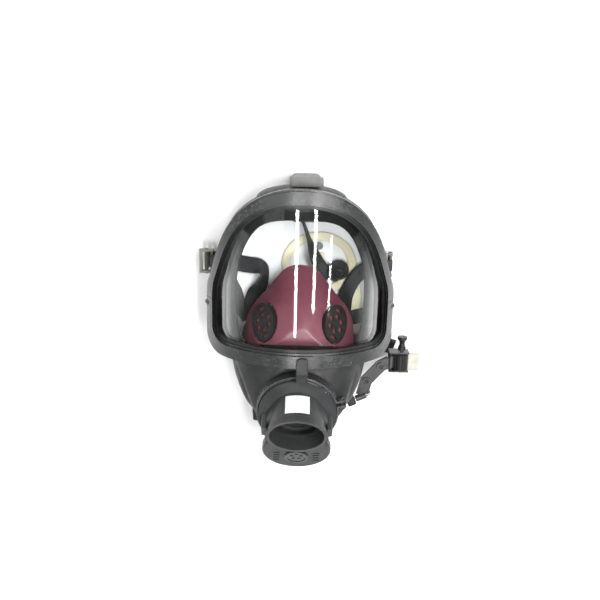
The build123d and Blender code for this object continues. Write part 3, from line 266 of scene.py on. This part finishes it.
def clear(name):
    """Clear plastic: what is behind shows through, with a mirror-like skin."""
    look = Look(name, Metallic=1.0, Base_Color=(1.0, 1.0, 1.0, 1.0))
    look.roughness(look.patches(30.0, 0.4, 0.75, LENS_ROUGH, LENS_ROUGH + 0.04, detail=5.0, roughness=0.6))
    inside = look.node("ShaderNodeBsdfTransparent", Color=LENS_LETS_THROUGH)
    facing = look.node("ShaderNodeLayerWeight", Blend=0.5).outputs["Facing"]
    shine = look.ramp(facing, 0.26, 0.5, LENS_SHINE_FACING, LENS_SHINE_GRAZING)
    haze = look.patches(55.0, 0.55, 0.8, 0.0, LENS_HAZE, detail=6.0, roughness=0.65)
    mixer = look.node("ShaderNodeMixShader")
    look.link(look.combine("ADD", shine, haze), mixer.inputs[0])
    look.link(inside.outputs[0], mixer.inputs[1])
    look.link(look.shader.outputs[0], mixer.inputs[2])
    look.link(mixer.outputs[0], look.tree.nodes["Material Output"].inputs["Surface"])
    return look.material


def paper(name):
    """Plain white label, slightly stained: no lettering."""
    look = Look(name, Specular_IOR_Level=0.4)
    stain = look.patches(300.0, 0.45, 0.75, 0.0, 0.5, detail=5.0, roughness=0.7)
    look.colour(look.mix(stain, (0.8, 0.8, 0.785), (0.6, 0.59, 0.57)))
    look.roughness(look.patches(200.0, 0.3, 0.7, 0.35, 0.55))
    look.bump(look.noise(500.0, detail=3.0), 0.00004)
    return look.material


RUBBER_BLACK = rubber("facepiece_rubber", (0.016, 0.0165, 0.0165), (0.031, 0.0315, 0.0315), 0.46, dust=0.1)
GASKET = rubber("gasket_rubber", grey(0.006), grey(0.013), 0.36)
CUP = rubber("cup_rubber", (0.175, 0.042, 0.064), (0.215, 0.06, 0.084), 0.36, dust=0.04, depth=0.00003, spec=0.55)
VALVE_RUBBER = rubber("valve_rubber", grey(0.012), grey(0.03), 0.5)
FLAP_RUBBER = rubber("flap_rubber", (0.1, 0.014, 0.02), (0.14, 0.022, 0.03), 0.42)
STRAP_BLACK = rubber("strap_black", (0.012, 0.012, 0.0125), (0.026, 0.026, 0.027), 0.5, dust=0.15, grain=700.0)
STRAP_GRAY = rubber("strap_gray", (0.035, 0.036, 0.036), grey(0.06), 0.55, dust=0.2, grain=700.0)
STRAP_CREAM = rubber("strap_cream", (0.8, 0.73, 0.5), (0.86, 0.81, 0.6), 0.55, grain=700.0, mottle=60.0)
FRAME = plastic("frame_plastic", (0.016, 0.0165, 0.017), (0.24, 0.245, 0.24), 0.29, scuff=0.7, scratch=0.6, spec=0.7)
HOUSING = plastic("housing_plastic", (0.025, 0.0255, 0.026), grey(0.09), 0.34, scuff=0.25, scratch=0.2)
COVER = plastic("cover_plastic", (0.02, 0.0205, 0.021), grey(0.08), 0.4, scuff=0.2, scratch=0.15)
VALVE = plastic("valve_plastic", (0.007, 0.007, 0.0075), (0.07, 0.065, 0.065), 0.36, scuff=0.35)
BADGE = plastic("badge_plastic", (0.016, 0.0165, 0.018), grey(0.12), 0.3, scuff=0.5, coat=0.3)
CLAMP = metal("clamp_metal", (0.2, 0.2, 0.205), grey(0.06), 0.2, metallic=0.9, coat=0.4)
STEEL = metal("zinc_steel", (0.55, 0.55, 0.54), (0.3, 0.29, 0.27), 0.34)
BLACK_STEEL = metal("black_steel", (0.016, 0.016, 0.017), grey(0.01), 0.34, metallic=0.3, coat=0.1)
SPRING = metal("spring_steel", grey(0.6), (0.42, 0.41, 0.4), 0.25)
OLIVE = metal("olive_buckle", (0.1, 0.1, 0.076), (0.06, 0.06, 0.046), 0.45, metallic=0.25)
STRAP_OLIVE = webbing("strap_olive", (0.15, 0.15, 0.115), (0.06, 0.06, 0.045))
WEB_GRAY = webbing("webbing_gray", (0.27, 0.27, 0.265), grey(0.11))
WEB_WHITE = webbing("webbing_white", (0.72, 0.7, 0.6), (0.5, 0.48, 0.4))
LENS = clear("lens_plastic")
LABEL = paper("label_paper")


def paint(material, *names):
    for name in names:
        slots = NODES[name].data.materials
        slots.clear()
        slots.append(material)


paint(LENS, "visor_lens")
paint(GASKET, "lens_gasket", "port_seal_ring")
paint(FRAME, "upper_lens_frame", "lower_lens_frame")
paint(HOUSING, "connector_housing", "inhalation_valve_seat", "exhalation_valve_seat")
paint(COVER, "exhalation_cover")
paint(BADGE, "cover_badge")
paint(CLAMP, "housing_clamp_band")
paint(BLACK_STEEL, "frame_screws", "clamp_screw", "clamp_nut", "ring_rivet")
paint(SPRING, "exhalation_spring")
paint(VALVE, "nose_cup_holder")
paint(VALVE_RUBBER, "inhalation_valve_disc", "exhalation_valve_disc")
paint(LABEL, "port_label")
for hand in HANDS:
    paint(STEEL, f"{hand}_clip_pin")
    paint(BLACK_STEEL, f"{hand}_clip_plate", f"{hand}_clip_studs", f"{hand}_buckle_frame")
    paint(VALVE, f"{hand}_buckle_roller", f"{hand}_roller_knob", f"{hand}_check_valve_seat")
    paint(FLAP_RUBBER, f"{hand}_check_valve_flap")
    paint(OLIVE, f"{hand}_temple_buckle", f"{hand}_temple_bar")


# ------------------------------------------------------------------ rubber mouldings
def moulded(node, name, material, voxel, rounds):
    """A rubber moulding in a CAD solid's space: remeshed at voxel mm, then smoothed for that many rounds."""
    obj = put(name, NODES[node].data.copy())
    remesh = obj.modifiers.new("remesh", "REMESH")
    remesh.mode = "VOXEL"
    remesh.voxel_size = voxel * MM
    remesh.use_smooth_shade = True
    soften = obj.modifiers.new("soften", "SMOOTH")
    soften.factor = 0.5
    soften.iterations = rounds
    graph = bpy.context.evaluated_depsgraph_get()
    mesh = bpy.data.meshes.new_from_object(obj.evaluated_get(graph))
    obj.modifiers.clear()
    obj.data = mesh
    mesh.materials.clear()
    mesh.materials.append(material)
    mesh.polygons.foreach_set("use_smooth", [True] * len(mesh.polygons))
    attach(obj, "mask")
    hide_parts(node)
    return obj


CREASE_LOW, CREASE_HIGH = 15, 78  # heights between which the chin is creased, mm
CREASE_FADE = 4  # mm over which a crease fades in and out there
CREASE_TAIL = (0.12, 0.8)  # part of a half wave along the line: start, and length


def crease(obj, line, half_width, depth):
    """Presses a soft groove into the top of a mesh along a line of (x, y), all in mm."""
    mesh = obj.data
    count = len(mesh.vertices)
    where = np.empty(count * 3)
    mesh.vertices.foreach_get("co", where)
    where = where.reshape(-1, 3) / MM
    normals = np.empty(count * 3)
    mesh.vertices.foreach_get("normal", normals)
    normals = normals.reshape(-1, 3)
    line = np.array(line, float)
    spans = len(line) - 1
    nearest = np.full(count, np.inf)
    passed = np.zeros(count)
    for k in range(spans):
        step = line[k + 1] - line[k]
        along = np.clip(((where[:, :2] - line[k]) @ step) / (step @ step), 0, 1)
        gap = np.linalg.norm(where[:, :2] - line[k] - along[:, None] * step, axis=1)
        passed = np.where(gap < nearest, (k + along) / spans, passed)
        nearest = np.minimum(gap, nearest)
    wave = np.sin(pi * (CREASE_TAIL[0] + CREASE_TAIL[1] * passed))
    push = depth * np.exp(-((nearest / half_width) ** 2)) * wave
    push *= np.clip((where[:, 2] - CREASE_LOW) / CREASE_FADE, 0, 1)
    push *= np.clip((CREASE_HIGH - where[:, 2]) / CREASE_FADE, 0, 1)
    push *= np.clip(normals[:, 2] * 3 + 0.5, 0, 1)  # the outer skin only, which faces up
    where -= normals * push[:, None]
    mesh.vertices.foreach_set("co", (where * MM).ravel())
    mesh.update()


facepiece = moulded("facepiece_body", "facepiece_rubber", RUBBER_BLACK, 1.2, 4)
crease(facepiece, [(-56.5, -58), (-49, -74), (-43, -90), (-38.5, -101), (-34, -108)], half_width=1.8, depth=1.3)
crease(facepiece, [(51, -62), (47.5, -76), (45, -88), (42.5, -100), (39, -110)], half_width=2.0, depth=1.1)
moulded("nose_cup", "nose_cup_rubber", CUP, 1.0, 5)
moulded("locating_tongue", "tongue_rubber", RUBBER_BLACK, 0.5, 4)
for hand in HANDS:
    moulded(f"{hand}_cheek_lug", f"{hand}_cheek_lug_rubber", RUBBER_BLACK, 0.6, 6)
    moulded(f"{hand}_temple_lug", f"{hand}_temple_lug_rubber", RUBBER_BLACK, 0.6, 5)

# ------------------------------------------------------------------ straps
CURVE_STEPS = 24  # steps of the curve between two route points
RIBBON_QUADS = 8  # quads across each face of a strap
RIBBON_EDGE = 0.45  # thickness left at a strap's edges, as a share of the middle's
TABLE_Z = 1.1  # middle of a strap that lies on the table, mm


def through(points, count, closed=False):
    """A smooth curve through the points, cut into count evenly parted ones."""
    points = np.array(points, float)
    total = len(points)
    curve = []
    for s in range(total if closed else total - 1):
        ids = [(s + k) % total if closed else min(max(s + k, 0), total - 1) for k in (-1, 0, 1, 2)]
        a, b, c, d = (points[i] for i in ids)
        for t in np.linspace(0, 1, CURVE_STEPS, endpoint=False):
            bend = (2 * a - 5 * b + 4 * c - d) * t**2 + (3 * b - a - 3 * c + d) * t**3
            curve.append(0.5 * (2 * b + (c - a) * t + bend))
    curve = np.array(curve + [curve[0] if closed else points[-1]])
    passed = np.concatenate([[0], np.cumsum(np.linalg.norm(np.diff(curve[:, :3], axis=0), axis=1))])
    at = np.linspace(0, passed[-1], count + 1 if closed else count)
    line = np.stack([np.interp(at, passed, column) for column in curve.T], axis=1)
    return line[:-1] if closed else line


def ribbon(
    name, route, width, thick, top, under, body="mask", closed=False, replaces=None, count=90, crown=0.0
):
    """A strap along route points (x, y, z, and its upper face's normal nx, ny, nz), in mm.

    width is one number or several spread evenly along it. crown lifts its middle.
    """
    line = through(route, count, closed)
    centre, normal = line[:, :3], line[:, 3:6]
    if closed:
        ahead = np.roll(centre, -1, axis=0) - np.roll(centre, 1, axis=0)
    else:
        ahead = np.gradient(centre, axis=0)
    ahead /= np.linalg.norm(ahead, axis=1)[:, None]
    across = np.cross(ahead, normal)
    across /= np.linalg.norm(across, axis=1)[:, None]
    lift = np.cross(across, ahead)
    widths = np.atleast_1d(width)
    half_widths = np.interp(np.linspace(0, 1, count), np.linspace(0, 1, len(widths)), widths) / 2
    profile = []
    for face in (1, -1):
        for k in range(RIBBON_QUADS + 1):
            u = face * (2 * k / RIBBON_QUADS - 1)
            edge = RIBBON_EDGE if abs(u) == 1 else 1.0
            profile.append((u, face * edge * thick / 2 + crown * (1 - u * u)))
    passed = np.concatenate([[0], np.cumsum(np.linalg.norm(np.diff(centre, axis=0), axis=1))])
    verts = []
    uvs = []
    for i in range(count):
        for u, rise in profile:
            reach = u * half_widths[i]
            verts.append((centre[i] + across[i] * reach + lift[i] * rise) * MM)
            uvs.append((reach * MM, passed[i] * MM))
    ring = len(profile)
    faces = []
    materials = []
    spans = count if closed else count - 1
    for i in range(spans):
        j = (i + 1) % count
        for k in range(ring):
            m = (k + 1) % ring
            faces.append((i * ring + k, i * ring + m, j * ring + m, j * ring + k))
            materials.append(0 if k < RIBBON_QUADS else 1)
    if not closed:
        faces.append(tuple(range(ring - 1, -1, -1)))
        faces.append(tuple(range(spans * ring, spans * ring + ring)))
        materials += [0, 0]
    obj = mesh_object(name, verts, faces)
    mesh = obj.data
    mesh.materials.append(top)
    mesh.materials.append(under)
    mesh.polygons.foreach_set("material_index", materials)
    layer = mesh.uv_layers.new(name="strap")
    for loop in mesh.loops:
        layer.data[loop.index].uv = uvs[loop.vertex_index]
    bm = bmesh.new()
    bm.from_mesh(mesh)
    bmesh.ops.recalc_face_normals(bm, faces=bm.faces)
    bm.to_mesh(mesh)
    bm.free()
    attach(obj, body)
    if replaces:
        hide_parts(replaces)


def face_up(*points):
    """Route points from (x, y) on the table or (x, y, z) above it, the strap's upper face up."""
    return [(x, y, *(height or [TABLE_Z]), 0, 0, 1) for x, y, *height in points]


def turns(count, per_turn, start=0.0):
    """count angles, per_turn of them to a full turn."""
    return [2 * pi * k / per_turn + start for k in range(count)]


RING_CENTRE, RING_RADII, RING_POINTS = (16.7, 22), (30.5, 25.5), 24
ring_route = face_up(*(
    (RING_CENTRE[0] + RING_RADII[0] * cos(angle), RING_CENTRE[1] + RING_RADII[1] * sin(angle))
    for angle in turns(RING_POINTS, RING_POINTS)
))
ribbon("harness_ring_plate", ring_route, 8.0, 2.2, STRAP_CREAM, STRAP_BLACK, closed=True,
       replaces="harness_ring", count=140, crown=0.3)
ribbon("centre_strap_piece", face_up((17.3, 31.5), (20, 19), (22.4, 6.8)), [8, 7.5, 9], 2.0,
       STRAP_CREAM, STRAP_BLACK, replaces="centre_strap", count=30)

# left side, from the temple down
ribbon("left_temple_band", [
    (-89, 24, 1.3, 0, 0, 1), (-70, 22.5, 2.5, 0, 0.1, 1), (-50, 20, 4.5, 0, 0.3, 1),
    (-38.5, 18.5, 6.5, 0.35, 0.3, 0.9), (-33.2, 12.5, 8.5, 0.9, 0.1, 0.45), (-35.5, 3, 9, 0.75, 0, 0.65),
    (-42.5, -8, 6.5, 0.2, 0, 1), (-45, -20, 3.6, 0, 0, 1), (-41, -36, 1.6, 0, 0, 1),
], 15, 2.0, STRAP_BLACK, STRAP_BLACK, replaces="left_temple_strap")
ribbon("left_lower_band", face_up((-66, 8, 1.6), (-61, -6, 2.2), (-56, -22, 2.6), (-50, -34, 1.6)),
       [9, 13, 12, 9], 1.6, STRAP_GRAY, STRAP_CREAM)
ribbon("left_cheek_band", face_up((25, -101), (9, -90), (-14, -56), (-54, -46)), 15, 2.1,
       STRAP_BLACK, STRAP_CREAM, replaces="left_cheek_strap")

# right side, from the temple down
ribbon("right_temple_band", [
    (78, 23, 1.5, 0, 0, 1), (66, 21, 3, 0, 0, 1), (52, 12, 6, -0.2, 0, 1), (43, -6, 5, -0.3, 0, 1),
    (41, -24, 2.2, 0, 0, 1),
], [15, 15, 13, 14, 15], 2.1, STRAP_BLACK, STRAP_CREAM, replaces="right_temple_strap")
ribbon("right_cream_band", face_up((53, 4, 1.4), (52, -12, 1.6), (50, -24, 1.8)), [6, 12, 13], 1.4,
       STRAP_CREAM, STRAP_BLACK)
ribbon("right_upper_cheek_band", face_up((74, -22, 3.4), (60, -26, 3.6), (44, -30, 3.4)), 14, 1.8,
       STRAP_BLACK, STRAP_CREAM)
ribbon("right_fold_band", face_up((76, -38, 2.0), (62, -39, 2.0), (46, -38, 2.0)), 13, 1.6,
       WEB_WHITE, STRAP_BLACK)
ribbon("right_cheek_band", face_up((91, -58), (72, -52), (56, -51), (40, -44)), [15, 13, 12, 12], 2.1,
       STRAP_BLACK, STRAP_CREAM, replaces="right_cheek_strap")

# the strap that stands rolled up beside the ring
ROLL_CENTRE, ROLL_Z, ROLL_TILT, ROLL_START = (35, 16), 9.4, 1.2, 2.4
ROLL_INNER_R, ROLL_GROWTH, ROLL_POINTS, ROLL_POINTS_PER_TURN = 3.6, 5.6, 29, 12
roll_route = []
for k, angle in enumerate(turns(ROLL_POINTS, ROLL_POINTS_PER_TURN, ROLL_START)):
    radius = ROLL_INNER_R + ROLL_GROWTH * k / (ROLL_POINTS - 1)
    x, y = ROLL_CENTRE[0] + radius * cos(angle), ROLL_CENTRE[1] + radius * sin(angle)
    roll_route.append((x, y, ROLL_Z + ROLL_TILT * sin(angle), cos(angle), sin(angle), 0.3))
ribbon("rolled_band", roll_route, 14, 1.5, STRAP_BLACK, STRAP_BLACK,
       replaces="rolled_strap", count=150)

# the webbing over the forehead and its rubber tail down to the rolled strap
ribbon("forehead_webbing", [
    (3, 96.5, 75.4, 0, 0, 1), (3, 99.5, 75.8, 0, 0, 1), (3, 102.4, 74.0, 0, 0.7, 0.7), (3, 103, 70, 0, 1, 0),
    (3, 103, 40, 0, 1, 0), (3, 103, 6, 0, 1, 0), (3, 101.5, 2, 0, 0.7, -0.7), (3, 97, 1.1, 0, 0, -1),
    (3, 80, 1.1, 0, 0, -1), (3, 60, 1.1, 0, 0, -1),
], [27, 23, 22, 22, 22], 2.0, WEB_GRAY, WEB_GRAY, replaces="forehead_strap", count=120)
ribbon("forehead_tail", [
    (-1, 66, 9, 1, 0.2, 0.1), (3.5, 55, 9, 1, 0.3, 0.15), (7, 44.5, 8.5, 0.9, 0.4, 0.3), (11, 34, 8, 0.7, 0.3, 0.65),
    (15.5, 24.5, 7, 0.4, 0.2, 0.9), (22, 15.5, 5.5, 0.1, 0.1, 1), (27, 9, 4.6, 0, 0, 1),
], [12, 13, 13, 12, 12], 1.6, STRAP_BLACK, STRAP_GRAY)

# the straps' tips in the cheek buckles
TIP_WIDTH, TIP_THICK, TIP_STATIONS = 16, 2.1, (-5, -2, 2, 5)
TIP_DIRECTION = {"left": Vector((0.883, 0.469, 0)), "right": Vector((1, 0, 0))}
for hand in HANDS:
    low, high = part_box(f"{hand}_strap_end")
    middle = (low + high) / 2 / MM
    tip_route = face_up(*(middle + TIP_DIRECTION[hand] * station for station in TIP_STATIONS))
    ribbon(f"{hand}_strap_tip", tip_route, TIP_WIDTH, TIP_THICK, WEB_WHITE, STRAP_BLACK,
           body=f"{hand}_buckle", replaces=f"{hand}_strap_end", count=24)

# the straps' closed loops round the temple buckles' bars, which run along Y
WRAP_WIDTH, WRAP_THICK, WRAP_GAP, WRAP_POINTS = 16, 0.6, 0.25, 12
for hand in HANDS:
    low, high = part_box(f"{hand}_temple_bar")
    x, y, z = (low + high) / 2 / MM
    radius = (high[0] - low[0]) / MM / 2 + WRAP_GAP
    loop_route = [
        (x + radius * cos(angle), y, z + radius * sin(angle), cos(angle), 0, sin(angle))
        for angle in turns(WRAP_POINTS, WRAP_POINTS)
    ]
    ribbon(f"{hand}_temple_wrap", loop_route, WRAP_WIDTH, WRAP_THICK, STRAP_OLIVE, STRAP_OLIVE,
           body=f"{hand}_temple_slider", closed=True, count=48)

# ------------------------------------------------------------------ floor
FLOOR_REACH = 3.0
floor_corners = [(x * FLOOR_REACH, y * FLOOR_REACH, 0) for x, y in ((-1, -1), (1, -1), (1, 1), (-1, 1))]
floor = mesh_object("floor", floor_corners, [(0, 1, 2, 3)])
floor_look = Look("floor_white", Roughness=0.7, Specular_IOR_Level=0.2)
floor_look.colour(floor_look.mix(floor_look.noise(3.0, detail=2.0), grey(0.93), grey(0.96)))
floor.data.materials.append(floor_look.material)

# ------------------------------------------------------------------ light
SKY_LOW, SKY_HIGH = 0.08, 0.5  # heights of the direction between which the room's glow falls
SKY_HORIZON, SKY_OVERHEAD = 1.0, 0.3
STRIP_HEIGHT = 1.5
STRIPS = [  # tube lights overhead, mirrored by the lens: name, x, y, width, length, power
    ("strip_left", -0.13, -0.265, 0.085, 0.41, 8.0),
    ("strip_middle", 0.42, -0.23, 0.085, 0.34, 7.0),
    ("strip_right", 1.02, -0.32, 0.06, 0.28, 5.0),
]
AIM_POINT = Vector((0, 0, 0.05))

world = bpy.data.worlds.new("studio")
bpy.context.scene.world = world
world.use_nodes = True
sky = world.node_tree
background = sky.nodes["Background"]
background.inputs["Color"].default_value = (1, 1, 1, 1)
direction = sky.nodes.new("ShaderNodeTexCoord")
height = sky.nodes.new("ShaderNodeSeparateXYZ")
glow = sky.nodes.new("ShaderNodeMapRange")
glow.inputs["From Min"].default_value = SKY_LOW
glow.inputs["From Max"].default_value = SKY_HIGH
glow.inputs["To Min"].default_value = SKY_HORIZON
glow.inputs["To Max"].default_value = SKY_OVERHEAD
sky.links.new(direction.outputs["Generated"], height.inputs[0])
sky.links.new(height.outputs["Z"], glow.inputs["Value"])
sky.links.new(glow.outputs["Result"], background.inputs["Strength"])


def area_light(name, location, width, length, power, target=None):
    """A rectangular light aimed at the target, or straight down without one."""
    data = bpy.data.lights.new(name, "AREA")
    data.shape = "RECTANGLE"
    data.size, data.size_y = width, length
    data.energy = power
    light = put(name, data)
    light.location = location
    if target:
        light.rotation_euler = (target - Vector(location)).to_track_quat("-Z", "Y").to_euler()


area_light("key", (0.6, 0.5, 1.45), 0.6, 0.6, 22, AIM_POINT)
area_light("fill", (-0.9, 0.3, 1.4), 1.0, 1.0, 5, AIM_POINT)
for name, x, y, width, length, power in STRIPS:
    area_light(name, (x, y, STRIP_HEIGHT), width, length, power)

bpy.context.scene.view_settings.view_transform = "Standard"
